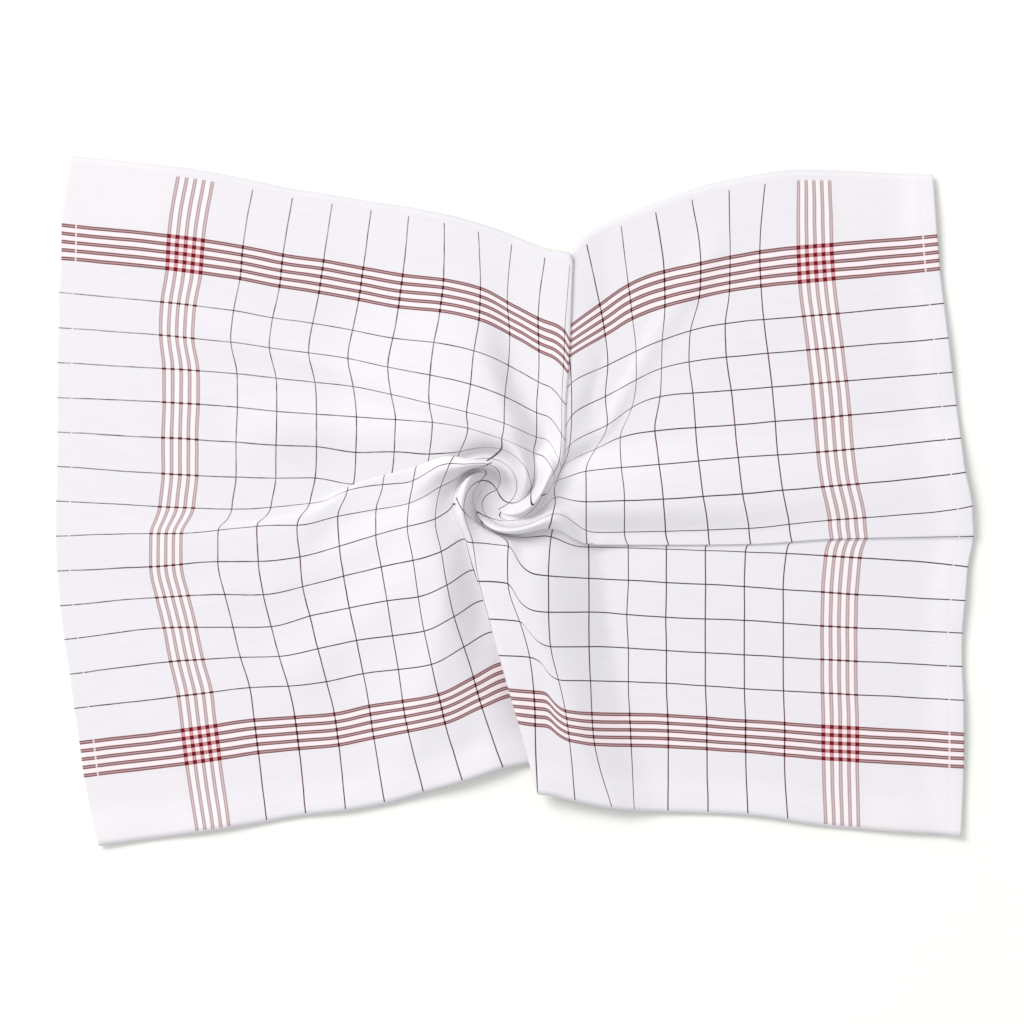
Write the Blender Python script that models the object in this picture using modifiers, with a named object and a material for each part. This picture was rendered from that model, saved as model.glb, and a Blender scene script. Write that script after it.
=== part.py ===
"""A cotton tea towel lying on a table, its middle pinched and twisted clockwise into a small swirl.

Units are metres. The towel lies in X and Y with its long side along X, and rests on z = 0.
The cloth is one sheet. Each point of it is named by where it was on the flat cloth: u along the
weft (the long side) and v along the warp, both measured from the middle, in millimetres.
"""

import bpy
import numpy as np

MM = 0.001

# The flat cloth
CLOTH_LENGTH = 700.0
CLOTH_WIDTH = 500.0
CLOTH_THICKNESS = 1.0

# The middle of the swirl, and how far the pinch turned the cloth there
SWIRL_TURN_DEG = 105.0
SWIRL_REACH = 30.0
SWIRL_CUP_DEPTH = 13.0
SWIRL_CUP_RADIUS = 16.0

# Where the folds cross near the middle they press each other down by this share
CENTRE_SAG = 0.4
CENTRE_REACH = 60.0

# In the middle the cloth is gathered evenly, to these shares of its flat length and width
GATHER_U = 0.72
GATHER_V = 0.6
GATHER_REACH = 48.0

# Spacing of the mesh, finer along the folds
FINE_STEP = 6.5
COARSE_STEP = 19.0
FOLD_BAND_U = (-84.0, 98.0)
FOLD_BAND_V = (-70.0, 70.0)

# Sections across the top half, one for each distance v up the cloth. The left quarter lies over
# the right one: the cloth runs right to fold_x, back under itself to turn_x, and out again.
TOP_COLUMNS = (
    "v", "left", "x_m222", "x_m111", "x_m56", "fold_u", "fold_x", "turn_x", "out_u", "x_111", "x_222", "right",
)
TOP_SECTIONS = (
    (250, -304, -175, -64, -16, 37, 54, 36, 76, 87, 190, 311),
    (200, -311, -181, -67, -12, 43, 52, 44, 62, 93, 187, 314),
    (150, -313, -188, -74, -17, 42, 49, 47, 52, 99, 190, 319),
    (100, -314, -185, -75, -22, 37, 46, 46, 48, 96, 196, 325),
    (50, -314, -186, -73, -24, 26, 36, 37, 46, 89, 200, 331),
    (0, -315, -189, -82, -40, -8, -6, 6, 8, 86, 207, 339),
)

# Sections across the bottom half. The right quarter lies over the left one: the cloth runs right
# to fold_x, on under the right quarter to turn_x, back to fold_x and over to the right.
BOTTOM_COLUMNS = (
    "v", "left", "x_m222", "x_m111", "x_m56", "in_u", "turn_x", "fold_x", "fold_u", "x_111", "x_222", "right",
)
BOTTOM_SECTIONS = (
    (0, -315, -189, -82, -40, -8, -6, 6, 8, 86, 207, 339),
    (-50, -314, -199, -86, -45, -26, -28.5, -28, -14, 92, 206, 336),
    (-100, -309, -188, -78, -36, -25, -10, -14, -7, 93, 204, 332),
    (-150, -302, -176, -70, -24, -26, 12, 1, 1, 93, 204, 333),
    (-200, -295, -170, -63, -11, -28, 31, 15, 14, 95, 205, 333),
    (-250, -284, -164, -52, 4, -37, 50, 28, 28, 96, 207, 331),
)

# Heights along the same sections: a low ridge and a valley left of the top pleat, then its crest.
TOP_HEIGHTS = {
    "v": (250, 200, 150, 100, 50, 0),
    "ridge": (4, 7, 10, 12, 10, 4),
    "valley": (3, 3, 3, 2, 3, 6),
    "crest": (12, 14, 17, 22, 27, 20),
    "turn": (4, 4, 6, 10, 14, 12),
    "foot": (0, 0, 1, 2, 5, 12),
}
RIDGE_U = -56.0
VALLEY_U = -18.0

# Heights of the bottom pleat: its crest, and the shoulder of the flap right of the crest.
BOTTOM_HEIGHTS = {
    "v": (0, -50, -100, -150, -200, -250),
    "crest": (20, 25, 21, 19, 17, 15),
    "shoulder": (12, 17, 18, 17, 16, 14),
    "turn": (12, 12, 8, 4, 3, 2.5),
    "foot": (8, 3, 1, 0, 0, 0),
}
SHOULDER_U = 32.0
FLAP_FOOT_U = 70.0

# Sections along the left half, one for each distance u. The lower quarter lies over the upper.
LEFT_COLUMNS = (
    "u", "top", "y_150", "y_75", "in_v", "turn_y", "fold_y", "fold_v", "y_m75", "y_m150", "bottom",
)
LEFT_SECTIONS = (
    (-350, 239, 141, 66, -11, -19.5, -20, -12, -82, -156, -254),
    (-222, 221, 128, 59, -8, -21, -21.5, -17, -75, -141, -237),
    (-139, 207, 114, 52, 24, 1, 3, 0, -61, -131, -224),
    (-83, 197, 105, 46, 42, 9, 18, -2, -51, -124, -208),
    (-56, 191, 99, 44, 42, 13, 22, -5, -45, -112, -200),
    (-28, 182, 89, 36, 38, 18, 22, -6, -34, -103, -194),
    (0, 173, 78, 28, 22, 10.5, 10, 0, -38, -117, -206),
    (10, 171, 74, 26, 14, 4.5, 4, 2, -38, -118, -212),
)

# Sections along the right half. The upper quarter lies over the lower.
RIGHT_COLUMNS = (
    "u", "top", "y_150", "y_50", "fold_v", "fold_y", "turn_y", "out_v", "y_m75", "y_m150", "bottom",
)
RIGHT_SECTIONS = (
    (10, 171, 74, 22, 2, 0, -0.5, -10, -38, -118, -212),
    (28, 168, 67, 8, -4, -14, -14.5, -26, -38, -119, -217),
    (42, 161, 63, 4, -9, -22, -22.5, -33, -50, -127, -219),
    (56, 157, 75, 5, -14, -31, -31.5, -42, -62, -135, -222),
    (83, 182, 89, 13, -22, -39, -34, -49, -63, -136, -227),
    (139, 205, 107, 18, -24, -39, -37, -46, -66, -138, -230),
    (195, 222, 119, 23, -25, -38.5, -38.5, -41, -69, -142, -232),
    (250, 229, 124, 27, -25, -35, -35.5, -33, -73, -145, -240),
    (350, 225, 133, 37, -25, -33, -33.5, -26.5, -79, -150, -247),
)

# Heights of the two side pleats. The left one is highest at its fold. The right one has a low flat
# lip at its fold, and its crest stands well back from it.
LEFT_HEIGHTS = {"u": (-350, -222, -139, -83, -28, 20), "crest": (2, 4, 8, 13, 18, 8)}
TURN_SHARE = 0.25
FOLD_SETBACK = 7.0
LEFT_SLOPE = 38.0
RIGHT_HEIGHTS = {
    "u": (-20, 33, 83, 139, 195, 250, 350),
    "crest": (8, 10, 13, 11, 8, 6, 5),
    "lip": (8, 10, 8, 6, 5, 5, 5),
}
LIP_WIDTH = 20.0
RIGHT_SETBACK = 44.0
RIGHT_SLOPE = 92.0
SIDE_FOOT = 20.0

# How far each crest stands back from its fold, and the step in plan between the layers of a fold
CREST_SETBACK = 9.0
FOLD_GAP = 1.0


def ease(t):
    """0 to 1 with level ends."""
    t = np.clip(t, 0.0, 1.0)
    return t * t * (3.0 - 2.0 * t)


def through(stations, values, at):
    """A curve through the values that never overshoots them. Stations may differ from point to point."""
    at = np.asarray(at, float)
    stations = np.stack([np.broadcast_to(station, at.shape) for station in stations]).astype(float)
    values = np.stack([np.broadcast_to(value, at.shape) for value in values]).astype(float)
    run = np.diff(stations, axis=0)
    rise = np.diff(values, axis=0) / run
    before, after = rise[:-1], rise[1:]
    same_way = before * after > 0
    inner = np.where(same_way, 2.0 * before * after / np.where(same_way, before + after, 1.0), 0.0)
    slope = np.concatenate([rise[:1], inner, rise[-1:]])
    cell = (stations[1:-1] <= at).sum(axis=0)[None]
    here = lambda table: np.take_along_axis(table, cell, axis=0)[0]
    beyond = lambda table: np.take_along_axis(table, cell + 1, axis=0)[0]
    t = np.clip((at - here(stations)) / here(run), 0.0, 1.0)
    level = (1 + 2 * t) * (1 - t) ** 2 * here(values) + t * t * (3 - 2 * t) * beyond(values)
    lean = t * (1 - t) ** 2 * here(slope) - t * t * (1 - t) * beyond(slope)
    return level + lean * here(run)


def section_reader(columns, sections, at):
    """Reads any named column of a section table at any distance along the table."""
    rows = sorted(sections)
    distances = [row[0] for row in rows]

    def read(name):
        index = columns.index(name)
        return through(distances, [row[index] for row in rows], at)

    return read


def height_reader(table, key, at):
    """Reads any named row of a height table at any distance along the table."""
    order = sorted(range(len(table[key])), key=lambda index: table[key][index])
    distances = [table[key][index] for index in order]
    return lambda name: through(distances, [table[name][index] for index in order], at)


def across_top(u, v):
    """Place along X and height of a point of the top half, from the sections across it."""
    read = section_reader(TOP_COLUMNS, TOP_SECTIONS, v)
    tall = height_reader(TOP_HEIGHTS, "v", v)
    fold_u, out_u, fold_x = read("fold_u"), read("out_u"), read("fold_x")
    turn_u = 0.5 * (fold_u + out_u)
    pleat = [fold_x, read("turn_x"), fold_x + FOLD_GAP]
    left = [read("left"), read("x_m222"), read("x_m111"), read("x_m56")]
    right = [read("x_111"), read("x_222"), read("right")]
    x = through([-350, -222, -111, -56, fold_u, turn_u, out_u, 111, 222, 350], left + pleat + right, u)
    stations = [-130, RIDGE_U, VALLEY_U, fold_u - CREST_SETBACK, turn_u, out_u, 120]
    heights = [0, tall("ridge"), tall("valley"), tall("crest"), tall("turn"), tall("foot"), 0]
    return x, through(stations, heights, u)


def across_bottom(u, v):
    """Place along X and height of a point of the bottom half, from the sections across it."""
    read = section_reader(BOTTOM_COLUMNS, BOTTOM_SECTIONS, v)
    tall = height_reader(BOTTOM_HEIGHTS, "v", v)
    in_u, fold_u, fold_x = read("in_u"), read("fold_u"), read("fold_x")
    turn_u = 0.5 * (in_u + fold_u)
    pleat = [fold_x - FOLD_GAP, read("turn_x"), fold_x]
    left = [read("left"), read("x_m222"), read("x_m111"), read("x_m56")]
    right = [read("x_111"), read("x_222"), read("right")]
    x = through([-350, -222, -111, -56, in_u, turn_u, fold_u, 111, 222, 350], left + pleat + right, u)
    stations = [-120, in_u, turn_u, fold_u + CREST_SETBACK, fold_u + SHOULDER_U, fold_u + FLAP_FOOT_U]
    heights = [0, tall("foot"), tall("turn"), tall("crest"), tall("shoulder"), 0]
    return x, through(stations, heights, u)


def along_left(u, v):
    """Place along Y and height of a point of the left half, from the sections along it."""
    read = section_reader(LEFT_COLUMNS, LEFT_SECTIONS, u)
    in_v, fold_v, fold_y = read("in_v"), read("fold_v"), read("fold_y")
    turn_v = 0.5 * (in_v + fold_v)
    low = [read("bottom"), read("y_m150"), read("y_m75")]
    pleat = [fold_y, read("turn_y"), fold_y + FOLD_GAP]
    high = [read("y_75"), read("y_150"), read("top")]
    y = through([-250, -150, -75, fold_v, turn_v, in_v, 75, 150, 250], low + pleat + high, v)
    crest = height_reader(LEFT_HEIGHTS, "u", u)("crest")
    stations = [fold_v - LEFT_SLOPE, fold_v - FOLD_SETBACK, turn_v, in_v, in_v + SIDE_FOOT]
    return y, through(stations, [0, crest, TURN_SHARE * crest, 0, 0], v)


def along_right(u, v):
    """Place along Y and height of a point of the right half, from the sections along it."""
    read = section_reader(RIGHT_COLUMNS, RIGHT_SECTIONS, u)
    out_v, fold_v, fold_y = read("out_v"), read("fold_v"), read("fold_y")
    turn_v = 0.5 * (out_v + fold_v)
    low = [read("bottom"), read("y_m150"), read("y_m75")]
    pleat = [fold_y - FOLD_GAP, read("turn_y"), fold_y]
    high = [read("y_50"), read("y_150"), read("top")]
    y = through([-250, -150, -75, out_v, turn_v, fold_v, 50, 150, 250], low + pleat + high, v)
    tall = height_reader(RIGHT_HEIGHTS, "u", u)
    lip, crest = tall("lip"), tall("crest")
    from_fold = [FOLD_SETBACK, LIP_WIDTH, RIGHT_SETBACK, RIGHT_SLOPE]
    stations = [out_v - SIDE_FOOT, out_v, turn_v] + [fold_v + far for far in from_fold]
    return y, through(stations, [0, 0, TURN_SHARE * lip, lip, lip, crest, 0], v)


def place(u, v):
    """Where a point of the flat cloth lies, in millimetres from the middle of the swirl."""
    upper = ease((v + 30.0) / 60.0)
    rightward = ease((u + 18.0) / 56.0)
    x_top, z_top = across_top(u, np.maximum(v, 0.0))
    x_bottom, z_bottom = across_bottom(u, np.minimum(v, 0.0))
    y_left, z_left = along_left(np.minimum(u, 10.0), v)
    y_right, z_right = along_right(np.maximum(u, 10.0), v)
    x = x_bottom + upper * (x_top - x_bottom)
    y = y_left + rightward * (y_right - y_left)
    pleats = z_bottom + upper * (z_top - z_bottom)
    sides = z_left + rightward * (z_right - z_left)
    z = (pleats + sides) * (1.0 - CENTRE_SAG * np.exp(-(u * u + v * v) / CENTRE_REACH**2))
    gathered = np.exp(-(u * u + v * v) / GATHER_REACH**2)
    x = x + gathered * (GATHER_U * u - x)
    y = y + gathered * (GATHER_V * v - y)
    radius = np.hypot(x, y)
    turn = -np.radians(SWIRL_TURN_DEG) * np.exp(-((radius / SWIRL_REACH) ** 2))
    x, y = x * np.cos(turn) - y * np.sin(turn), x * np.sin(turn) + y * np.cos(turn)
    z = z - SWIRL_CUP_DEPTH * np.exp(-((radius / SWIRL_CUP_RADIUS) ** 2))
    return x, y, np.maximum(z, 0.0)


def spaced(half, band):
    """Mesh lines from one edge to the other, closer together inside the band."""
    low = np.linspace(-half, band[0], int(round((half + band[0]) / COARSE_STEP)) + 1)
    fold = np.linspace(band[0], band[1], int(round((band[1] - band[0]) / FINE_STEP)) + 1)
    high = np.linspace(band[1], half, int(round((half - band[1]) / COARSE_STEP)) + 1)
    return np.concatenate([low[:-1], fold, high[1:]])


def sheet_mesh(name):
    u_lines = spaced(CLOTH_LENGTH / 2, FOLD_BAND_U)
    v_lines = spaced(CLOTH_WIDTH / 2, FOLD_BAND_V)
    u, v = np.meshgrid(u_lines, v_lines)
    points = np.stack(place(u, v), -1)
    middle = 0.5 * (points.min(axis=(0, 1)) + points.max(axis=(0, 1)))
    points -= (middle[0], middle[1], -0.5 * CLOTH_THICKNESS)
    rows, columns = u.shape
    corner = lambda row, across: row * columns + across
    faces = [
        (corner(j, i), corner(j, i + 1), corner(j + 1, i + 1), corner(j + 1, i))
        for j in range(rows - 1)
        for i in range(columns - 1)
    ]
    mesh = bpy.data.meshes.new(name)
    mesh.from_pydata((points.reshape(-1, 3) * MM).tolist(), [], faces)
    return mesh


def white_cotton():
    material = bpy.data.materials.new("white_cotton")
    material.use_nodes = True
    surface = material.node_tree.nodes["Principled BSDF"]
    surface.inputs["Base Color"].default_value = (0.86, 0.86, 0.88, 1.0)
    surface.inputs["Roughness"].default_value = 0.9
    surface.inputs["Metallic"].default_value = 0.0
    return material


def build():
    for item in list(bpy.data.objects):
        bpy.data.objects.remove(item, do_unlink=True)
    collection = bpy.data.collections.new("tea_towel")
    bpy.context.scene.collection.children.link(collection)
    towel = bpy.data.objects.new("tea_towel", sheet_mesh("tea_towel"))
    collection.objects.link(towel)
    towel.data.materials.append(white_cotton())
    cloth = towel.modifiers.new("cloth", "SOLIDIFY")
    cloth.thickness = CLOTH_THICKNESS * MM
    cloth.offset = 0.0
    return towel


build()
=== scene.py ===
"""A white cotton tea towel with maroon stripe borders, its middle pinched and twisted into a swirl.

The towel replaces the plain solid of the frame. It is laid out in millimetres from the middle of
the swirl: each point of the cloth is named by where it was on the flat cloth, u along the weft
and v along the warp. The finished mesh is in metres.
"""

import bpy
import numpy as np
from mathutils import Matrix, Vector


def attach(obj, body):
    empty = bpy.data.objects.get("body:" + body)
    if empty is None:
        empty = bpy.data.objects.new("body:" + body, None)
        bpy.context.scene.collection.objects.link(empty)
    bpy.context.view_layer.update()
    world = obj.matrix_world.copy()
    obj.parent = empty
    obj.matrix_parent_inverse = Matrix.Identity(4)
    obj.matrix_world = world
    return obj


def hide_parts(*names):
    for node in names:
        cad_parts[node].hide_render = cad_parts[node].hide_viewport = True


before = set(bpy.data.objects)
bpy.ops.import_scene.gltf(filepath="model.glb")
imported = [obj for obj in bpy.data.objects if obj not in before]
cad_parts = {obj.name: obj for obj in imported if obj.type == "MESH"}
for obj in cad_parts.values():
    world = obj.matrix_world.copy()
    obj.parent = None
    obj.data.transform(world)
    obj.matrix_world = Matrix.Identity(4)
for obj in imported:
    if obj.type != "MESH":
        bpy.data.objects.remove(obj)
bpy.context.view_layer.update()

MM = 0.001

# The flat cloth
CLOTH_LENGTH = 700.0
CLOTH_WIDTH = 500.0
CLOTH_THICKNESS = 0.7
HEM_WIDTH = 10.0

# The photograph's frame, in millimetres from the middle of the swirl
VIEW_WIDTH = 731.4
VIEW_MIDDLE = (10.7, -15.7)

# How far the twist turned the cloth, falling off with the distance from the middle of the swirl
TWIST_DEG = 150.0
TWIST_REACH = 30.0
TWIST_FALL = 2.6

# Inside MIDDLE_FULL of flat cloth the four rolls of the swirl shape it alone, and they hand over
# to the sections by MIDDLE_END. The middle is drawn in to these shares of its own size, which
# change evenly from side to side over DRAW_REACH each way.
MIDDLE_FULL = 42.0
MIDDLE_END = 92.0
DRAW_LEFT = 0.66
DRAW_RIGHT = 0.78
DRAW_BOTTOM = 0.58
DRAW_TOP = 0.47
DRAW_REACH = 60.0

# Round the swirl, clockwise from the pocket left of the top roll. Each roll has a crest, an edge that
# leans over its own foot, and the tuck and foot under that edge. A row gives the direction on the
# flat cloth, the direction in the swirl with the twist undone, the same in the core of the swirl,
# the distance from the middle at which the cloth drops into the cup, and the share of full height.
SWIRL_COLUMNS = ("flat_deg", "laid_deg", "core_deg", "rim", "rise")
SWIRL = (
    (86, 60, 84, 19, 0.0),
    (78, 50, 66, 21, 0.5),
    (70, 40, 52, 23, 1.0),
    (62, 31, 42, 23, 0.75),
    (54, 36, 47, 24, 0.35),
    (42, 24, 26, 25, 0.1),
    (12, 2, 4, 26, 0.3),
    (-8, -16, -20, 26, 1.0),
    (-15, -26, -36, 26, 0.75),
    (-26, -22, -31, 25, 0.35),
    (-40, -40, -44, 24, 0.05),
    (-58, -62, -56, 22, 0.1),
    (-78, -88, -66, 20, 0.55),
    (-95, -106, -84, 19, 1.0),
    (-104, -116, -112, 19, 0.75),
    (-111, -112, -106, 18, 0.35),
    (-119, -122, -116, 16, 0.05),
    (-140, -146, -126, 14, 0.1),
    (-162, -174, -132, 12, 0.5),
    (-179, -193, -140, 11, 1.0),
    (-188, -205, -152, 11, 0.75),
    (-203, -200, -148, 11, 0.3),
    (-219, -220, -180, 14, 0.0),
    (-246, -268, -240, 18, 0.6),
    (-274, -300, -276, 19, 0.0),
)

# The core's directions hold inside CORE_RADIUS and give way to the laid ones by CORE_END
CORE_RADIUS = 20.0
CORE_END = 44.0

# Heights at distances outside the rim of the cup, into which the rolls dive
ROLL_HEIGHTS = {
    "from_rim": (-8, -4, 0, 4, 12, 25, 50),
    "crest": (1, 4, 16, 25, 27, 25, 22),
    "valley": (1, 1, 2, 3, 3, 3, 2),
}

# Spacing of the mesh, finer along the folds and at the hems
MIDDLE_STEP = 1.4
FINE_STEP = 2.2
COARSE_STEP = 4.6
HEM_STEP = 1.3
HEM_MARGIN = 2.0
MIDDLE_BAND = (-52.0, 52.0)
FOLD_BAND_U = (-96.0, 108.0)
FOLD_BAND_V = (-80.0, 80.0)
SOFTENING_ROUNDS = 3

# Sections across the top half, one for each distance v up the cloth. The left quarter lies over
# the right one: the cloth runs right to fold_x, back under itself to turn_x, and out again.
TOP_COLUMNS = (
    "v", "left", "x_m222", "x_m167", "x_m111", "x_m56", "x_m28", "fold_u", "fold_x", "turn_x", "out_u",
    "x_83", "x_111", "x_167", "x_222", "x_250", "right",
)
TOP_SECTIONS = (
    (250, -304, -173, -117, -62, -14, 11, 37, 54, 38, 74, 62, 87, 138, 192, 215, 311),
    (200, -311, -181, -124, -67, -12, 7, 43, 52, 44, 62, 73, 93, 146, 187, 215, 314),
    (175, -311, -183, -127, -70, -13, 9, 44, 51, 46, 56, 77, 96, 145, 188, 216, 316),
    (150, -313, -188, -132, -74, -17, 8, 42, 49, 47, 52, 79, 99, 138, 190, 219, 319),
    (125, -313, -190, -135, -78, -19, 5, 40, 48.5, 47.5, 50, 77, 99, 137, 193, 222, 322),
    (100, -314, -185, -130, -75, -22, 5, 37, 45.5, 45, 48, 79, 96, 140, 196, 225, 325),
    (75, -314, -185, -129, -72, -21, 3, 34, 41, 40.5, 47, 70, 87, 142, 198, 227, 328),
    (50, -314, -186, -129, -73, -24, 0, 26, 35, 34.5, 46, 63, 88, 144, 200, 229, 331),
    (25, -314, -186, -130, -76, -32, -12, 10, 16, 21, 30, 63, 90, 147, 203, 232, 334),
    (0, -315, -189, -134, -81, -40, -20, -8, -6, 6, 8, 63, 90, 151, 208, 238, 339),
)

# Sections across the bottom half. The right quarter lies over the left one: the cloth runs right
# to fold_x, on under the right quarter to turn_x, back to fold_x and over to the right.
BOTTOM_COLUMNS = (
    "v", "left", "x_m222", "x_m167", "x_m111", "x_m56", "in_u", "turn_x", "fold_x", "fold_u",
    "x_28", "x_56", "x_83", "x_111", "x_167", "x_222", "right",
)
BOTTOM_SECTIONS = (
    (0, -315, -189, -134, -81, -40, -8, -6, 6, 8, 24, 44, 63, 90, 151, 208, 339),
    (-25, -315, -199, -143, -86, -42, -20, -17, -17, -5, 14, 38, 64, 93, 152, 210, 340),
    (-50, -314, -199, -141, -86, -45, -26, -28.5, -28, -14, 9, 37, 65, 93, 149, 206, 336),
    (-75, -312, -194, -139, -82, -40, -25, -21, -21, -10, 8, 37, 65, 93, 149, 204, 334),
    (-100, -309, -188, -134, -78, -36, -25, -10, -14, -7, 8, 37, 65, 92, 149, 204, 332),
    (-125, -305, -183, -128, -74, -31, -25, 0, -6, -3.5, 17, 38, 65, 93, 149, 204, 332),
    (-150, -302, -176, -122, -70, -24, -26, 12, 1, 1, 24, 44, 66, 93, 149, 204, 333),
    (-175, -298, -173, -116, -67, -17, -27, 22, 8, 8, 27, 49, 67, 94, 150, 205, 333),
    (-200, -295, -170, -113, -63, -11, -28, 31, 15, 14, 28, 52, 69, 95, 150, 205, 333),
    (-250, -284, -164, -108, -52, 4, -37, 50, 28, 28, 29.5, 56, 82, 97, 151, 207, 331),
)

# Heights along the same sections: a low ridge and a valley left of the top pleat, then its crest.
TOP_HEIGHTS = {
    "v": (250, 200, 150, 100, 50, 0),
    "ridge_u": (-70, -66, -52, -24, -20, -24),
    "ridge": (2, 3, 12, 19, 17, 4),
    "valley_u": (-34, -32, -22, 11, 9, -14),
    "valley": (2, 2, 2, 1, 2, 6),
    "crest": (5, 6, 8, 13, 22, 20),
    "turn": (2, 3, 5, 8, 12, 12),
    "foot": (2, 3, 5, 8, 9, 12),
}
RISE_FROM_U = -150.0
UNDER_FOOT = 28.0

# Heights of the bottom pleat: a low ridge left of it, its crest, and the shoulder of the flap.
BOTTOM_HEIGHTS = {
    "v": (0, -50, -100, -150, -200, -250),
    "ridge": (4, 12, 13, 11, 8, 5),
    "crest": (20, 22, 18, 16, 13, 9),
    "shoulder": (6, 19, 20, 17, 13, 8),
    "turn": (12, 11, 7, 4, 3, 2),
    "foot": (8, 3, 1, 0, 0, 0),
}
RIDGE_U = -64.0
FLAP_START_U = 28.5
SHOULDER_U = 52.0
FLAP_FOOT_U = 104.0

# Sections along the left half, one for each distance u. The lower quarter lies over the upper, and
# rounds over to front_y on its near side.
LEFT_COLUMNS = (
    "u", "top", "y_150", "y_100", "y_75", "in_v", "in_y", "turn_y", "fold_y", "fold_v", "front_y",
    "y_m50", "y_m100", "y_m150", "bottom",
)
LEFT_SECTIONS = (
    (-350, 239, 141, 91, 66, 12, 4, -11, -26, -18, -36, -58, -107, -156, -254),
    (-262, 229, 133, 86, 62, 4, -9, -21, -32, -26, -40, -54, -98, -146, -243),
    (-222, 221, 128, 83, 59, 2, -12, -22, -28, -24, -37, -51, -98, -141, -237),
    (-195, 215, 123, 80, 56, 2, -11, -19.5, -25, -24, -35, -51, -98, -140, -232),
    (-167, 211, 119, 77, 54, 8, -4.5, -13, -21, -20, -30, -48, -90, -137, -229),
    (-139, 206, 114, 74, 52, 25, 4, -1, 3, 7, -2, -40, -84, -131, -224),
    (-111, 202, 108, 68, 50, 34, 12, 1, 11, 9, 3, -32, -79, -128, -216),
    (-83, 197, 105, 61, 48, 42, 18, 5, 17, 12, 7.5, -26, -76, -124, -208),
    (-56, 191, 99, 55, 44, 45, 24, 13, 23, 6, 14, -21, -68, -112, -199),
    (-28, 182, 89, 47, 36, 38, 23, 18, 22, -2, 14, -12, -57, -101, -194),
    (0, 173, 78, 38, 28, 22, 11, 10.5, 10, 0, 4, -12, -65, -117, -206),
    (10, 171, 74, 36, 26, 14, 5, 4.5, 4, 2, -2, -12, -65, -118, -212),
)
FRONT_WIDTH = 10.0

# Sections along the right half. The upper quarter lies over the lower.
RIGHT_COLUMNS = (
    "u", "top", "y_200", "y_150", "y_100", "y_50", "fold_v", "fold_y", "turn_y", "out_v",
    "y_m75", "y_m100", "y_m150", "bottom",
)
RIGHT_SECTIONS = (
    (10, 171, 119, 74, 36, 22, 2, 0, -0.5, -10, -38, -65, -118, -212),
    (28, 168, 113, 63, 19, 4, -4, -14, -14.5, -26, -39, -67, -119, -217),
    (38, 162, 108, 61, 15, 1, -8, -20, -20.5, -31, -55, -81, -122, -218),
    (46, 159, 108, 66, 20, 2, -10.5, -25, -25.5, -36, -60, -86, -130, -220),
    (56, 157, 114, 77, 32, 5, -14, -31, -31.5, -42, -61, -87, -135, -222),
    (83, 182, 133, 89, 46, 13, -22, -39, -34, -49, -63, -87, -136, -227),
    (139, 205, 157, 107, 67, 18, -24, -39, -37, -46, -66, -91, -138, -230),
    (195, 222, 167, 119, 71, 23, -25, -38.5, -38.5, -41, -69, -93, -142, -232),
    (250, 229, 174, 124, 76, 27, -25, -35, -35.5, -33, -73, -97, -145, -240),
    (350, 225, 182, 133, 84, 37, -25, -33, -33.5, -26.5, -79, -102, -150, -247),
)

# Heights of the two side pleats. The left one is highest at its fold. The right one has a low flat
# lip at its fold, and its crest stands well back from it.
LEFT_HEIGHTS = {"u": (-350, -222, -139, -83, -28, 20), "crest": (0.5, 1.5, 3.5, 7, 14, 8)}
LEFT_TURN_SHARE = 0.25
LEFT_SLOPE = 38.0
LEFT_SETBACK = 7.0
RIGHT_HEIGHTS = {
    "u": (-20, 33, 83, 139, 195, 250, 350),
    "crest": (8, 15, 12, 9, 6, 4, 2),
    "lip": (6, 5, 3, 2.5, 2, 2, 2.5),
}
LIP_WIDTH = 20.0
RIGHT_SETBACK = 44.0
RIGHT_SLOPE = 92.0
SIDE_FOOT = 20.0

# How far each crest stands back from its fold, and the step in plan between the layers of a fold
CREST_SETBACK = 9.0
FOLD_GAP = 1.0

# Where the sections of one half hand over to those of the other
TOP_FROM_V = -30.0
TOP_FULL_V = 30.0
RIGHT_FROM_U = -18.0
RIGHT_FULL_U = 38.0
SIDES_MEET_U = 10.0

# Soft ridges and troughs that run out over the quarters, in flat millimetres. Each fades in and
# out over these shares of its length, and runs on past its ends by CREASE_OVERRUN.
CREASE_COLUMNS = ("start_u", "start_v", "end_u", "end_v", "half_width", "height")
CREASES = (
    (185, 215, 76, 92, 12, 1.7),
    (140, 210, 62, 110, 14, -1.6),
    (-250, 138, -70, 92, 13, 1.8),
    (-215, 62, -75, 66, 21, 4.0),
    (-235, -75, -105, -50, 16, 1.4),
    (-200, -150, -70, -75, 18, 2.0),
    (-120, -230, -48, -80, 16, 2.4),
    (-75, -245, -35, -120, 12, -1.6),
    (250, -110, 120, -60, 22, 1.0),
    (290, 90, 120, 40, 24, 1.0),
    (-300, 215, -120, 190, 26, 0.8),
)
CREASE_OVERRUN = 0.15
CREASE_FADE_IN = 0.35
CREASE_FADE_OUT = 0.3

# The bottom and right edges stand a little off the table
BOTTOM_LIFT = 3.0
RIGHT_LIFT = 4.4
EDGE_LIFT_WIDTH = 30.0
EDGE_WAVE = 0.8
EDGE_WAVE_LENGTH = 95.0

# The check woven into the cloth. Its lines are bolder where they cross a stripe. They fade a little to the
# upper left, towards the light, and that fading is painted light: the lines look washed out where the light
# falls brightest.
CHECK_PITCH_U = 27.8
CHECK_PITCH_V = 25.0
CHECK_HALF_WIDTH = 0.42
KNOT_HALF_WIDTH = 0.75
CHECK_SOFTNESS = 0.18
CHECK_END_SOFTNESS = 0.1
BOLDNESS = 0.6
# Painted light: how fast the lines grow paler towards the lit upper left
PAINTED_LIGHT_PALING = 0.0008
BOLDNESS_SPREAD = 0.9
BOLDNESS_SCALE = 0.11

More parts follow.
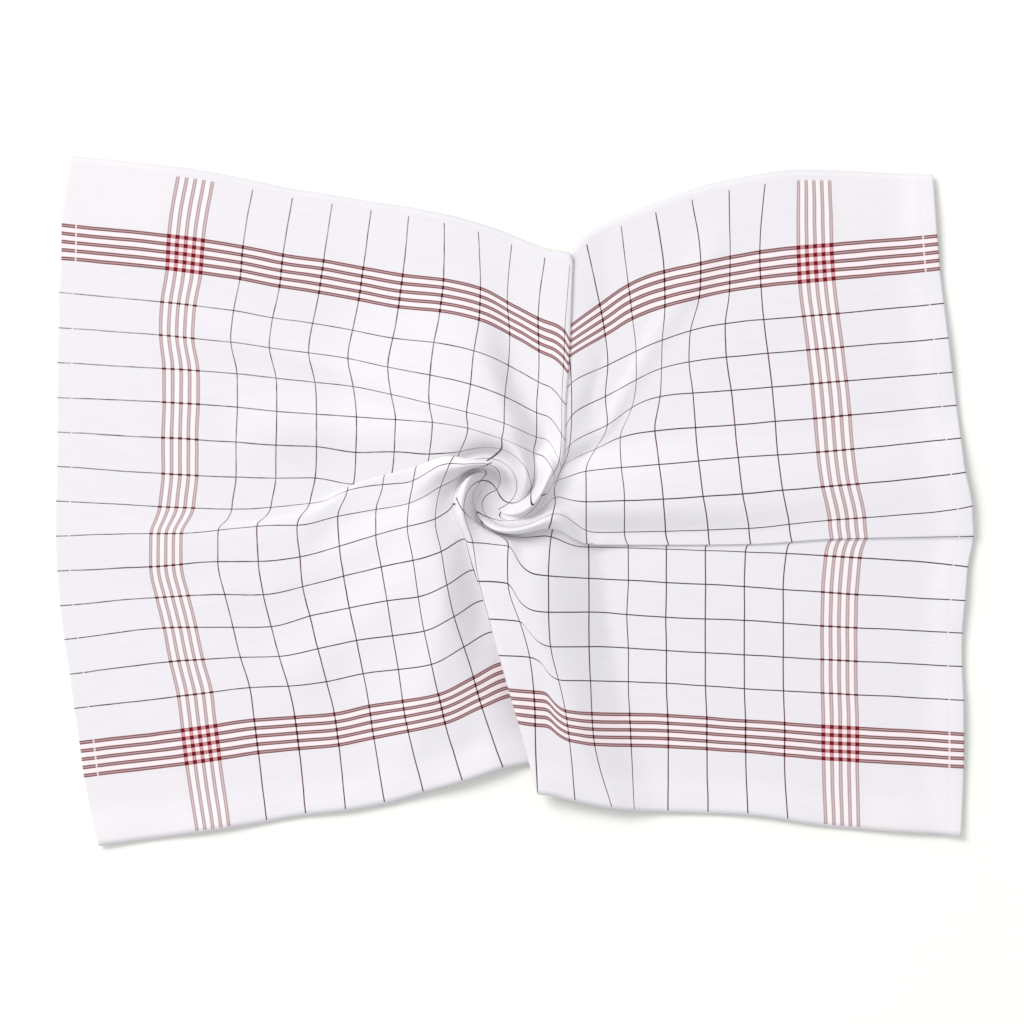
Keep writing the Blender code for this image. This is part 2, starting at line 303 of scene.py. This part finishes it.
# The border of stripes. Each stripe has a bold thread at each side and a paler filling.
STRIPES_FROM_U = 250.2
STRIPES_FROM_V = 175.0
STRIPE_PITCH = 6.0
STRIPE_COUNT = 5
STRIPE_HALF_WIDTH = 1.42
STRIPE_SOFTNESS = 0.15
STRIPE_FILLING = 0.65
THREAD_FROM_MIDDLE = 0.82
THREAD_HALF_WIDTH = 0.5
THREAD_SOFTNESS = 0.16
BORDER_MARGIN = 1.6
BORDER_SOFTNESS = 0.2

# How far the threads wander from their true lines, and over what scale
WANDER = 0.9
WANDER_SCALE = 0.035

# Where the lines stop short of the long edges, and the stitching of the hems
ENDS_FROM_TOP = 7.0
ENDS_FROM_BOTTOM = 1.5
ENDS_SOFTNESS = 0.3
STITCH_HALF_WIDTH = 0.45
STITCH_SOFTNESS = 0.25
STITCH_COVER = 0.8

# The pale pink corners lie outside both borders
CORNER_FROM_U = 279.0
CORNER_FROM_V = 203.0
CORNER_SOFTNESS = 6.0

# The white of the cotton, between its shaded and its light streaks, and the dyes over it: how much
# of the cloth each covers, and its colour. Stripes are redder where the two borders meet.
COTTON_SHADE = (0.772, 0.746, 0.775, 1.0)
COTTON_LIGHT = (0.832, 0.805, 0.832, 1.0)
DYE_COLUMNS = ("cover", "red", "green", "blue")
DYES = {
    "corner": (0.5, 0.85, 0.79, 0.81),
    "warp_border": (0.7, 0.96, 0.865, 0.87),
    "weft_border": (0.7, 0.96, 0.82, 0.84),
    "warp_stripe": (0.74, 0.30, 0.155, 0.17),
    "weft_stripe": (0.93, 0.165, 0.025, 0.031),
    "meeting_stripe": (0.8, 0.60, 0.22, 0.25),
    "crossing": (1.0, 0.145, 0.002, 0.007),
    "warp_line": (1.0, 0.09, 0.022, 0.03),
    "weft_line": (1.0, 0.05, 0.02, 0.025),
    "warp_knot": (1.0, 0.075, 0.001, 0.006),
    "weft_knot": (1.0, 0.11, 0.006, 0.012),
}
COTTON_FINISH = {"Roughness": 0.9, "Sheen Weight": 0.1, "Sheen Roughness": 0.5, "Specular IOR Level": 0.15}

# Scales along the weft and the warp of the streaks in the white and of the slubs in the relief
STREAK_SCALES = (0.035, 0.5)
SLUB_SCALES = (0.08, 0.9)
STREAK_DETAIL = 3.0

# The relief of the weave: its threads, its slubs and the stitching
WEAVE_TURNS = 9.0
WEAVE_HEIGHT = 0.04
SLUB_HEIGHT = 0.28
STITCH_DEPTH = 0.15
RELIEF_STRENGTH = 0.6
RELIEF_DEPTH = 0.5

# The surroundings: a pale floor, an even sky and one large window to the upper left, in metres
FLOOR_SIZE = 6.0
FLOOR_DROP = 0.0003
FLOOR_FINISH = {"Base Color": (0.98, 0.98, 0.925, 1.0), "Roughness": 1.0, "Specular IOR Level": 0.0}
SKY_COLOUR = (0.95, 0.97, 1.0, 1.0)
SKY_STRENGTH = 0.71
WINDOW_PLACE = (-3.3, 3.1, 4.3)
WINDOW_SIZE = 3.2
WINDOW_POWER = 262.0
WINDOW_COLOUR = (1.0, 0.99, 0.965)
CAMERA_HEIGHT = 3.0
SENSOR_WIDTH = 36.0
FAR_LIMIT = 20.0


def ease(t):
    """0 to 1 with level ends."""
    t = np.clip(t, 0.0, 1.0)
    return t * t * (3.0 - 2.0 * t)


def through(stations, values, at):
    """A curve through the values that never overshoots them. Stations may differ from point to point."""
    at = np.asarray(at, float)
    stations = np.stack([np.broadcast_to(station, at.shape) for station in stations]).astype(float)
    values = np.stack([np.broadcast_to(value, at.shape) for value in values]).astype(float)
    run = np.diff(stations, axis=0)
    rise = np.diff(values, axis=0) / run
    before, after = rise[:-1], rise[1:]
    same_way = before * after > 0
    inner = np.where(same_way, 2.0 * before * after / np.where(same_way, before + after, 1.0), 0.0)
    slope = np.concatenate([rise[:1], inner, rise[-1:]])
    cell = (stations[1:-1] <= at).sum(axis=0)[None]

    def here(table, ahead=0):
        return np.take_along_axis(table, cell + ahead, axis=0)[0]

    t = np.clip((at - here(stations)) / here(run), 0.0, 1.0)
    level = (1 + 2 * t) * (1 - t) ** 2 * here(values) + t * t * (3 - 2 * t) * here(values, 1)
    lean = t * (1 - t) ** 2 * here(slope) - t * t * (1 - t) * here(slope, 1)
    return level + lean * here(run)


def section_reader(columns, sections, at):
    """Reads any named column of a section table at any distance along the table."""
    rows = sorted(sections)
    distances = [row[0] for row in rows]

    def read(name):
        index = columns.index(name)
        return through(distances, [row[index] for row in rows], at)

    return read


def height_reader(table, key, at):
    """Reads any named row of a height table at any distance along the table."""
    order = sorted(range(len(table[key])), key=lambda index: table[key][index])
    distances = [table[key][index] for index in order]

    def read(name):
        return through(distances, [table[name][index] for index in order], at)

    return read


def swirl_reader(flat_deg):
    """Reads any named column of the swirl's table at any direction on the flat cloth."""
    start_deg = SWIRL[0][0]
    clockwise = (start_deg - flat_deg) % 360.0
    turns = [start_deg - row[0] for row in SWIRL]

    def read(name):
        index = SWIRL_COLUMNS.index(name)
        return through(turns, [row[index] for row in SWIRL], clockwise)

    return read


def across_top(u, v):
    """Place along X and height of a point of the top half, from the sections across it."""
    read = section_reader(TOP_COLUMNS, TOP_SECTIONS, v)
    tall = height_reader(TOP_HEIGHTS, "v", v)
    fold_u, out_u, fold_x = read("fold_u"), read("out_u"), read("fold_x")
    turn_u = 0.5 * (fold_u + out_u)
    pleat = [fold_x, read("turn_x"), fold_x + FOLD_GAP]
    left = [read(name) for name in ("left", "x_m222", "x_m167", "x_m111", "x_m56", "x_m28")]
    right = [read(name) for name in ("x_83", "x_111", "x_167", "x_222", "x_250", "right")]
    stations = [-350, -222, -167, -111, -56, -28, fold_u, turn_u, out_u, 83, 111, 167, 222, 250, 350]
    x = through(stations, left + pleat + right, u)
    ridge_u, valley_u = tall("ridge_u"), tall("valley_u")
    stations = [RISE_FROM_U, ridge_u, valley_u, fold_u - CREST_SETBACK, turn_u, out_u, out_u + UNDER_FOOT]
    heights = [0, tall("ridge"), tall("valley"), tall("crest"), tall("turn"), tall("foot"), 0]
    return x, through(stations, heights, u)


def across_bottom(u, v):
    """Place along X and height of a point of the bottom half, from the sections across it."""
    read = section_reader(BOTTOM_COLUMNS, BOTTOM_SECTIONS, v)
    tall = height_reader(BOTTOM_HEIGHTS, "v", v)
    in_u, fold_u, fold_x = read("in_u"), read("fold_u"), read("fold_x")
    turn_u = 0.5 * (in_u + fold_u)
    pleat = [fold_x - FOLD_GAP, read("turn_x"), fold_x]
    left = [read(name) for name in ("left", "x_m222", "x_m167", "x_m111", "x_m56")]
    right = [read(name) for name in ("x_28", "x_56", "x_83", "x_111", "x_167", "x_222", "right")]
    stations = [-350, -222, -167, -111, -56, in_u, turn_u, fold_u, FLAP_START_U, 56, 83, 111, 167, 222, 350]
    x = through(stations, left + pleat + right, u)
    from_fold = [fold_u + far for far in (CREST_SETBACK, SHOULDER_U, FLAP_FOOT_U)]
    stations = [RISE_FROM_U, RIDGE_U, in_u, turn_u] + from_fold
    heights = [0] + [tall(name) for name in ("ridge", "foot", "turn", "crest", "shoulder")] + [0]
    return x, through(stations, heights, u)


def along_left(u, v):
    """Place along Y and height of a point of the left half, from the sections along it."""
    read = section_reader(LEFT_COLUMNS, LEFT_SECTIONS, u)
    in_v, fold_v, fold_y = read("in_v"), read("fold_v"), read("fold_y")
    turn_v = 0.5 * (in_v + fold_v)
    low = [read(name) for name in ("bottom", "y_m150", "y_m100", "y_m50", "front_y")]
    pleat = [fold_y, read("turn_y"), read("in_y")]
    high = [read(name) for name in ("y_75", "y_100", "y_150", "top")]
    front_v = fold_v - FRONT_WIDTH
    stations = [-250, -150, -100, -50, front_v, fold_v, turn_v, in_v, 75, 100, 150, 250]
    y = through(stations, low + pleat + high, v)
    crest = height_reader(LEFT_HEIGHTS, "u", u)("crest")
    stations = [fold_v - LEFT_SLOPE, fold_v - LEFT_SETBACK, turn_v, in_v, in_v + SIDE_FOOT]
    return y, through(stations, [0, crest, LEFT_TURN_SHARE * crest, 0, 0], v)


def along_right(u, v):
    """Place along Y and height of a point of the right half, from the sections along it."""
    read = section_reader(RIGHT_COLUMNS, RIGHT_SECTIONS, u)
    out_v, fold_v, fold_y = read("out_v"), read("fold_v"), read("fold_y")
    turn_v = 0.5 * (out_v + fold_v)
    low = [read(name) for name in ("bottom", "y_m150", "y_m100", "y_m75")]
    pleat = [fold_y - FOLD_GAP, read("turn_y"), fold_y]
    high = [read(name) for name in ("y_50", "y_100", "y_150", "y_200", "top")]
    stations = [-250, -150, -100, -75, out_v, turn_v, fold_v, 50, 100, 150, 200, 250]
    y = through(stations, low + pleat + high, v)
    tall = height_reader(RIGHT_HEIGHTS, "u", u)
    lip, crest = tall("lip"), tall("crest")
    from_fold = [LIP_WIDTH, RIGHT_SETBACK, RIGHT_SLOPE]
    stations = [out_v - SIDE_FOOT, out_v, turn_v, fold_v] + [fold_v + far for far in from_fold]
    return y, through(stations, [0, 0, 0.5 * lip, lip, lip, crest, 0], v)


def edge_lift(u, v):
    """The gentle rise of the cloth to its bottom and right edges, in waves along them."""
    bottom = ease(1.0 - (v + CLOTH_WIDTH / 2) / EDGE_LIFT_WIDTH)
    right = ease(1.0 - (CLOTH_LENGTH / 2 - u) / EDGE_LIFT_WIDTH)
    waves_u = EDGE_WAVE * np.sin(2 * np.pi * u / EDGE_WAVE_LENGTH)
    waves_v = EDGE_WAVE * np.sin(2 * np.pi * v / EDGE_WAVE_LENGTH)
    return np.maximum(bottom * (BOTTOM_LIFT + waves_u), right * (RIGHT_LIFT + waves_v))


def crease_height(u, v):
    """Soft ridges and troughs, each fading along its line and to its sides."""
    total = np.zeros_like(u)
    for row in CREASES:
        crease = dict(zip(CREASE_COLUMNS, row))
        from_u, from_v = u - crease["start_u"], v - crease["start_v"]
        run_u, run_v = crease["end_u"] - crease["start_u"], crease["end_v"] - crease["start_v"]
        length = np.hypot(run_u, run_v)
        along = (from_u * run_u + from_v * run_v) / length**2
        aside = (from_u * run_v - from_v * run_u) / length
        fade_in = ease((along + CREASE_OVERRUN) / CREASE_FADE_IN)
        fade_out = ease((1.0 + CREASE_OVERRUN - along) / CREASE_FADE_OUT)
        ridge = np.exp(-((aside / crease["half_width"]) ** 2))
        total = total + crease["height"] * fade_in * fade_out * ridge
    return total


def sections_place(u, v):
    """Place of a point of the flat cloth from the sections alone."""
    upper = ease((v - TOP_FROM_V) / (TOP_FULL_V - TOP_FROM_V))
    rightward = ease((u - RIGHT_FROM_U) / (RIGHT_FULL_U - RIGHT_FROM_U))
    x_top, z_top = across_top(u, np.maximum(v, 0.0))
    x_bottom, z_bottom = across_bottom(u, np.minimum(v, 0.0))
    y_left, z_left = along_left(np.minimum(u, SIDES_MEET_U), v)
    y_right, z_right = along_right(np.maximum(u, SIDES_MEET_U), v)
    x = x_bottom + upper * (x_top - x_bottom)
    y = y_left + rightward * (y_right - y_left)
    pleats = z_bottom + upper * (z_top - z_bottom)
    sides = z_left + rightward * (z_right - z_left)
    return x, y, pleats + sides


def middle_place(u, v):
    """Place of a point in the middle of the cloth, before the twist: four rolls that lean clockwise."""
    reach = (-DRAW_REACH, DRAW_REACH)
    x = u * np.interp(u, reach, (DRAW_LEFT, DRAW_RIGHT))
    y = v * np.interp(v, reach, (DRAW_BOTTOM, DRAW_TOP))
    radius = np.hypot(x, y)
    read = swirl_reader(np.degrees(np.arctan2(y, x)))
    core, laid = read("core_deg"), read("laid_deg")
    angle = np.radians(core + ease((radius - CORE_RADIUS) / (CORE_END - CORE_RADIUS)) * (laid - core))
    tall = height_reader(ROLL_HEIGHTS, "from_rim", radius - read("rim"))
    z = tall("valley") + read("rise") * (tall("crest") - tall("valley"))
    return radius * np.cos(angle), radius * np.sin(angle), z


def turned(x, y, sign):
    """The place turned by the twist: clockwise with sign -1, and back with sign 1."""
    twist = TWIST_DEG * np.exp(-((np.hypot(x, y) / TWIST_REACH) ** TWIST_FALL))
    angle = sign * np.radians(twist)
    return x * np.cos(angle) - y * np.sin(angle), x * np.sin(angle) + y * np.cos(angle)


def place(u, v):
    """Where a point of the flat cloth lies, in millimetres from the middle of the swirl."""
    x_outer, y_outer, z_outer = sections_place(u, v)
    x_outer, y_outer = turned(x_outer, y_outer, 1)
    x_inner, y_inner, z_inner = middle_place(u, v)
    inner = 1.0 - ease((np.hypot(u, v) - MIDDLE_FULL) / (MIDDLE_END - MIDDLE_FULL))
    x = x_outer + inner * (x_inner - x_outer)
    y = y_outer + inner * (y_inner - y_outer)
    z = z_outer + inner * (z_inner - z_outer)
    x, y = turned(x, y, -1)
    return x, y, np.maximum(z, 0.0)


def steps(stops, step):
    """Evenly divided stretches between the stops, each about one step long."""
    lines = [np.array([stops[0]])]
    for low, high, size in zip(stops[:-1], stops[1:], step):
        lines.append(np.linspace(low, high, int(round((high - low) / size)) + 1)[1:])
    return np.concatenate(lines)


def mesh_lines():
    """The distances u and v at which the flat cloth is divided."""
    half_u, half_v = CLOTH_LENGTH / 2, CLOTH_WIDTH / 2
    hem = half_u - HEM_WIDTH - HEM_MARGIN
    u_stops = (-half_u, -hem, FOLD_BAND_U[0], *MIDDLE_BAND, FOLD_BAND_U[1], hem, half_u)
    v_stops = (-half_v, FOLD_BAND_V[0], *MIDDLE_BAND, FOLD_BAND_V[1], half_v)
    across = (COARSE_STEP, FINE_STEP, MIDDLE_STEP, FINE_STEP, COARSE_STEP)
    return steps(u_stops, (HEM_STEP, *across, HEM_STEP)), steps(v_stops, across)


def soften(grid, rounds):
    """Round the creases a little, as cloth does."""
    for _ in range(rounds):
        for axis in (0, 1):
            lines = np.moveaxis(grid, axis, 0)
            lines[1:-1] = 0.25 * lines[:-2] + 0.5 * lines[1:-1] + 0.25 * lines[2:]
    return grid


def lay_out():
    """The laid cloth as a grid of points in metres, the flat place of each, and its middle."""
    u_lines, v_lines = mesh_lines()
    u, v = np.meshgrid(u_lines, v_lines)
    points = np.stack(place(u, v), -1)
    points = soften(points, SOFTENING_ROUNDS)
    points[..., 2] += np.maximum(crease_height(u, v) + edge_lift(u, v), -points[..., 2])
    low, high = points.min(axis=(0, 1)), points.max(axis=(0, 1))
    middle = 0.5 * (low + high)
    points -= (middle[0], middle[1], low[2] - 0.5 * CLOTH_THICKNESS)
    return points * MM, u, v, middle


def cloth_object(name, points, u, v):
    """The cloth as one sheet with its thickness, which keeps the flat place of each point."""
    rows, columns = u.shape
    index = np.arange(rows * columns).reshape(rows, columns)
    corners = [index[:-1, :-1], index[:-1, 1:], index[1:, 1:], index[1:, :-1]]
    faces = np.stack([corner.ravel() for corner in corners], -1)
    mesh = bpy.data.meshes.new(name)
    mesh.from_pydata(points.reshape(-1, 3).tolist(), [], faces.tolist())
    flat = np.stack([u / CLOTH_LENGTH + 0.5, v / CLOTH_WIDTH + 0.5], -1).reshape(-1, 2)
    layer = mesh.uv_layers.new(name="flat")
    layer.data.foreach_set("uv", flat[faces.ravel()].ravel().astype(np.float32))
    mesh.polygons.foreach_set("use_smooth", [True] * len(mesh.polygons))
    towel = bpy.data.objects.new(name, mesh)
    bpy.context.scene.collection.objects.link(towel)
    thickness = towel.modifiers.new("thickness", "SOLIDIFY")
    thickness.thickness = CLOTH_THICKNESS * MM
    thickness.offset = 0.0
    return towel


class Shader:
    """Short calls for the nodes of one material."""

    def __init__(self, name):
        self.material = bpy.data.materials.new(name)
        self.material.use_nodes = True
        self.tree = self.material.node_tree
        self.surface = self.tree.nodes["Principled BSDF"]

    def node(self, kind, **settings):
        made = self.tree.nodes.new(kind)
        for key, value in settings.items():
            setattr(made, key, value)
        return made

    def feed(self, socket, value):
        if isinstance(value, bpy.types.NodeSocket):
            self.tree.links.new(value, socket)
        else:
            socket.default_value = value

    def finish(self, settings):
        for name, value in settings.items():
            self.surface.inputs[name].default_value = value

    def math(self, operation, *values, clamp=False):
        made = self.node("ShaderNodeMath", operation=operation, use_clamp=clamp)
        for socket, value in zip(made.inputs, values):
            self.feed(socket, value)
        return made.outputs[0]

    def within(self, distance, half_width, softness):
        """1 where the distance is under half_width, 0 beyond it, with a soft edge."""
        made = self.node("ShaderNodeMapRange", interpolation_type="SMOOTHSTEP")
        self.feed(made.inputs["Value"], distance)
        made.inputs["From Min"].default_value = half_width - softness
        made.inputs["From Max"].default_value = half_width + softness
        made.inputs["To Min"].default_value = 1.0
        made.inputs["To Max"].default_value = 0.0
        return made.outputs["Result"]

    def outside(self, distance, edge, softness):
        """0 where the distance is under the edge and 1 beyond it."""
        return self.math("SUBTRACT", 1.0, self.within(distance, edge, softness))

    def mix(self, share, low, high):
        made = self.node("ShaderNodeMix", data_type="RGBA")
        self.feed(made.inputs[0], share)
        self.feed(made.inputs[6], low)
        self.feed(made.inputs[7], high)
        return made.outputs[2]

    def dyed(self, cloth, name, *masks):
        """The cloth with a dye laid over it where all the masks overlap."""
        dye = dict(zip(DYE_COLUMNS, DYES[name]))
        share = dye["cover"]
        for mask in masks:
            share = self.math("MULTIPLY", mask, share)
        return self.mix(share, cloth, (dye["red"], dye["green"], dye["blue"], 1.0))

    def noise(self, vector, scale, detail=2.0):
        made = self.node("ShaderNodeTexNoise")
        self.feed(made.inputs["Vector"], vector)
        made.inputs["Scale"].default_value = scale
        made.inputs["Detail"].default_value = detail
        return made.outputs[0]

    def streaks(self, u, v, scales):
        """Noise drawn out along the weft."""
        along, up = (self.math("MULTIPLY", far, scale) for far, scale in zip((u, v), scales))
        return self.noise(self.vector(along, up), 1.0, STREAK_DETAIL)

    def vector(self, x, y, z=0.0):
        made = self.node("ShaderNodeCombineXYZ")
        for socket, value in zip(made.inputs, (x, y, z)):
            self.feed(socket, value)
        return made.outputs[0]


class Threads:
    """The masks of the lines and stripes that run one way."""

    def __init__(self, shader, across, pitch, stripes_from):
        self.lines = check_lines(shader, across, pitch, stripes_from, CHECK_HALF_WIDTH)
        self.knots = check_lines(shader, across, pitch, stripes_from, KNOT_HALF_WIDTH)
        self.stripes, self.bands, self.border = stripe_lines(shader, across, stripes_from)

    def end_at(self, shader, ends):
        """Lines and stripes show only where the mask of their ends lets them."""
        self.lines = shader.math("MULTIPLY", self.lines, ends)
        self.stripes = shader.math("MULTIPLY", self.stripes, ends)


def check_lines(shader, across, pitch, stripes_from, half_width):
    """Thin window-pane lines at every pitch, between the stripe borders."""
    far = shader.math("ABSOLUTE", across)
    nearest = shader.math("PINGPONG", far, pitch / 2)
    line = shader.within(nearest, half_width, CHECK_SOFTNESS)
    inside = shader.within(far, stripes_from - pitch / 2, CHECK_END_SOFTNESS)
    return shader.math("MULTIPLY", line, inside)


def stripe_lines(shader, across, stripes_from):
    """A border of stripes along each side: its threads, its whole stripes, and the cloth it covers."""
    far = shader.math("ABSOLUTE", across)
    from_first = shader.math("ABSOLUTE", shader.math("SUBTRACT", far, stripes_from))
    nearest = shader.math("PINGPONG", from_first, STRIPE_PITCH / 2)
    from_thread = shader.math("ABSOLUTE", shader.math("SUBTRACT", nearest, THREAD_FROM_MIDDLE))
    thread = shader.within(from_thread, THREAD_HALF_WIDTH, THREAD_SOFTNESS)
    band = shader.within(nearest, STRIPE_HALF_WIDTH, STRIPE_SOFTNESS)
    half = STRIPE_PITCH * (STRIPE_COUNT - 1) / 2
    from_middle = shader.math("ABSOLUTE", shader.math("SUBTRACT", far, stripes_from + half))
    border = shader.within(from_middle, half + BORDER_MARGIN, BORDER_SOFTNESS)
    threads = shader.math("MAXIMUM", thread, shader.math("MULTIPLY", band, STRIPE_FILLING))
    return shader.math("MULTIPLY", threads, border), shader.math("MULTIPLY", band, border), border


def flat_place(shader):
    """The place on the flat cloth, in millimetres from its middle."""
    split = shader.node("ShaderNodeSeparateXYZ")
    shader.feed(split.inputs[0], shader.node("ShaderNodeUVMap", uv_map="flat").outputs[0])
    u = shader.math("MULTIPLY", shader.math("SUBTRACT", split.outputs[0], 0.5), CLOTH_LENGTH)
    v = shader.math("MULTIPLY", shader.math("SUBTRACT", split.outputs[1], 0.5), CLOTH_WIDTH)
    return u, v


def hem_stitch(shader, u):
    """The line of stitching of the hem at each short end."""
    far = shader.math("ABSOLUTE", u)
    from_stitch = shader.math("ABSOLUTE", shader.math("SUBTRACT", far, CLOTH_LENGTH / 2 - HEM_WIDTH))
    return shader.within(from_stitch, STITCH_HALF_WIDTH, STITCH_SOFTNESS)


def woven_threads(shader, u, v, stitch):
    """The threads along the warp and along the weft, which aren't quite straight."""
    wander = shader.noise(shader.vector(u, v), WANDER_SCALE, 1.0)
    wander = shader.math("MULTIPLY", shader.math("SUBTRACT", wander, 0.5), WANDER)
    warp = Threads(shader, shader.math("ADD", u, wander), CHECK_PITCH_U, STRIPES_FROM_U)
    weft = Threads(shader, shader.math("ADD", v, wander), CHECK_PITCH_V, STRIPES_FROM_V)
    below = shader.math("MULTIPLY", v, -1.0)
    top_end = shader.within(v, CLOTH_WIDTH / 2 - ENDS_FROM_TOP, ENDS_SOFTNESS)
    bottom_end = shader.within(below, CLOTH_WIDTH / 2 - ENDS_FROM_BOTTOM, ENDS_SOFTNESS)
    warp_ends = shader.math("MULTIPLY", top_end, bottom_end)
    warp.end_at(shader, warp_ends)
    warp.border = shader.math("MULTIPLY", warp.border, warp_ends)
    weft.end_at(shader, shader.math("SUBTRACT", 1.0, shader.math("MULTIPLY", stitch, STITCH_COVER)))
    return warp, weft


def plain_cotton(shader, u, v):
    """White cotton, streaked along the weft, with a pale pink square in each corner."""
    cloth = shader.mix(shader.streaks(u, v, STREAK_SCALES), COTTON_SHADE, COTTON_LIGHT)
    beside = shader.outside(shader.math("ABSOLUTE", u), CORNER_FROM_U, CORNER_SOFTNESS)
    beyond = shader.outside(shader.math("ABSOLUTE", v), CORNER_FROM_V, CORNER_SOFTNESS)
    return shader.dyed(cloth, "corner", beside, beyond)


def with_borders(shader, cloth, warp, weft):
    """The stripe borders: rose along the warp, maroon along the weft, crimson where they cross."""
    cloth = shader.dyed(cloth, "warp_border", warp.border)
    cloth = shader.dyed(cloth, "weft_border", weft.border)
    cloth = shader.dyed(cloth, "warp_stripe", warp.stripes)
    cloth = shader.dyed(cloth, "weft_stripe", weft.stripes)
    either_stripe = shader.math("MAXIMUM", weft.stripes, warp.stripes)
    cloth = shader.dyed(cloth, "meeting_stripe", either_stripe, weft.border, warp.border)
    return shader.dyed(cloth, "crossing", weft.bands, warp.bands)


def with_check(shader, cloth, warp, weft, u, v):
    """The window-pane check, unevenly bold and paler to the upper left as painted light, and the darker
    knots where it crosses the stripes.
    """
    # Painted light: the lines pale towards the upper left, where the light falls brightest; the noise is
    # the cloth's own uneven boldness
    lit_side_paling = shader.math("MULTIPLY_ADD", shader.math("SUBTRACT", u, v), PAINTED_LIGHT_PALING, BOLDNESS)
    uneven = shader.noise(shader.vector(u, v), BOLDNESS_SCALE, 2.0)
    boldness_with_painted_light = shader.math("MULTIPLY_ADD", uneven, BOLDNESS_SPREAD, lit_side_paling, clamp=True)
    cloth = shader.dyed(cloth, "warp_line", warp.lines, boldness_with_painted_light)
    cloth = shader.dyed(cloth, "weft_line", weft.lines, boldness_with_painted_light)
    cloth = shader.dyed(cloth, "warp_knot", warp.knots, weft.bands)
    return shader.dyed(cloth, "weft_knot", weft.knots, warp.bands)


def woven_relief(shader, u, v, stitch):
    """The fine relief of the weave, its slubs and the stitching."""
    warp_thread = shader.math("SINE", shader.math("MULTIPLY", u, WEAVE_TURNS))
    weft_thread = shader.math("SINE", shader.math("MULTIPLY", v, WEAVE_TURNS))
    weave = shader.math("MULTIPLY", shader.math("MULTIPLY", warp_thread, weft_thread), WEAVE_HEIGHT)
    slubs = shader.math("MULTIPLY", shader.streaks(u, v, SLUB_SCALES), SLUB_HEIGHT)
    relief = shader.math("ADD", weave, slubs)
    relief = shader.math("SUBTRACT", relief, shader.math("MULTIPLY", stitch, STITCH_DEPTH))
    bump = shader.node("ShaderNodeBump")
    bump.inputs["Strength"].default_value = RELIEF_STRENGTH
    bump.inputs["Distance"].default_value = RELIEF_DEPTH * MM
    shader.feed(bump.inputs["Height"], relief)
    return bump.outputs[0]


def cotton():
    """White cotton with the check, the stripe borders, the hems and the weave, from its flat place."""
    shader = Shader("tea_towel_cotton")
    u, v = flat_place(shader)
    stitch = hem_stitch(shader, u)
    warp, weft = woven_threads(shader, u, v, stitch)
    cloth = with_borders(shader, plain_cotton(shader, u, v), warp, weft)
    cloth = with_check(shader, cloth, warp, weft, u, v)
    shader.feed(shader.surface.inputs["Base Color"], cloth)
    shader.feed(shader.surface.inputs["Normal"], woven_relief(shader, u, v, stitch))
    shader.finish(COTTON_FINISH)
    return shader.material


def floor():
    """The pale floor under the towel."""
    bpy.ops.mesh.primitive_plane_add(size=FLOOR_SIZE, location=(0, 0, -FLOOR_DROP))
    made = bpy.context.object
    made.name = "floor"
    shader = Shader("floor_white")
    shader.finish(FLOOR_FINISH)
    made.data.materials.append(shader.material)
    return made


def camera(middle):
    """A camera that looks straight down and takes in the photograph's frame."""
    data = bpy.data.cameras.new("camera")
    made = bpy.data.objects.new("camera", data)
    bpy.context.scene.collection.objects.link(made)
    data.sensor_width = SENSOR_WIDTH
    data.lens = SENSOR_WIDTH * CAMERA_HEIGHT / (VIEW_WIDTH * MM)
    data.clip_end = FAR_LIMIT
    x, y = (VIEW_MIDDLE[0] - middle[0]) * MM, (VIEW_MIDDLE[1] - middle[1]) * MM
    made.location = (x, y, CAMERA_HEIGHT)
    bpy.context.scene.camera = made
    return made


def window():
    """One large soft light, turned to the towel."""
    data = bpy.data.lights.new("window", "AREA")
    data.size = WINDOW_SIZE
    data.energy = WINDOW_POWER
    data.color = WINDOW_COLOUR
    made = bpy.data.objects.new("window", data)
    bpy.context.scene.collection.objects.link(made)
    made.location = WINDOW_PLACE
    made.rotation_euler = (-Vector(WINDOW_PLACE)).to_track_quat("-Z", "Y").to_euler()
    return made


def sky():
    """Even light from all round."""
    world = bpy.data.worlds.new("world")
    world.use_nodes = True
    background = world.node_tree.nodes["Background"]
    background.inputs["Color"].default_value = SKY_COLOUR
    background.inputs["Strength"].default_value = SKY_STRENGTH
    bpy.context.scene.world = world


points, flat_u, flat_v, swirl_middle = lay_out()
tea_towel = cloth_object("tea_towel_cloth", points, flat_u, flat_v)
tea_towel.data.materials.append(cotton())
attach(tea_towel, "root")
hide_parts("tea_towel")
floor()
camera(swirl_middle)
sky()
window()
bpy.context.scene.view_settings.view_transform = "Standard"
